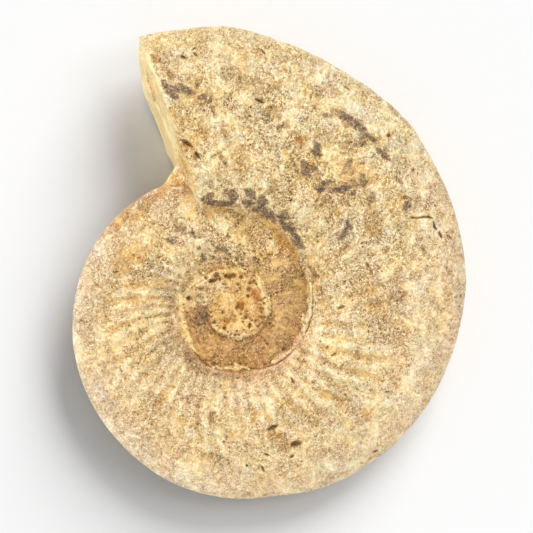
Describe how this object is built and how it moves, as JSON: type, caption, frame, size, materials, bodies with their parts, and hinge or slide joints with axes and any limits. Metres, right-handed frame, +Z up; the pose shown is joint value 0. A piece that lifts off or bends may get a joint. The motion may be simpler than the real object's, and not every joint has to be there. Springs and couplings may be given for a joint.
{
  "type": "ammonite fossil",
  "caption": "Ribbed ammonite fossil in cream limestone, lying on its flank, with a rock plug in the umbilicus and a cleanly broken last whorl",
  "frame": {"origin": "middle of the fossil's outline seen from above, on the surface that it lies on", "axes": "+Z up out of the upper flank, about along the coil's axis; +Y from the bottom of the coil towards the tip of the broken end, the longest way across; +X to the right, where the whorl is still growing"},
  "size_m": [0.1668, 0.2001, 0.0373],
  "materials": {
    "limestone": "matte"
  },
  "bodies": {
    "root": {"ammonite": "limestone"}
  },
  "joints": []
}
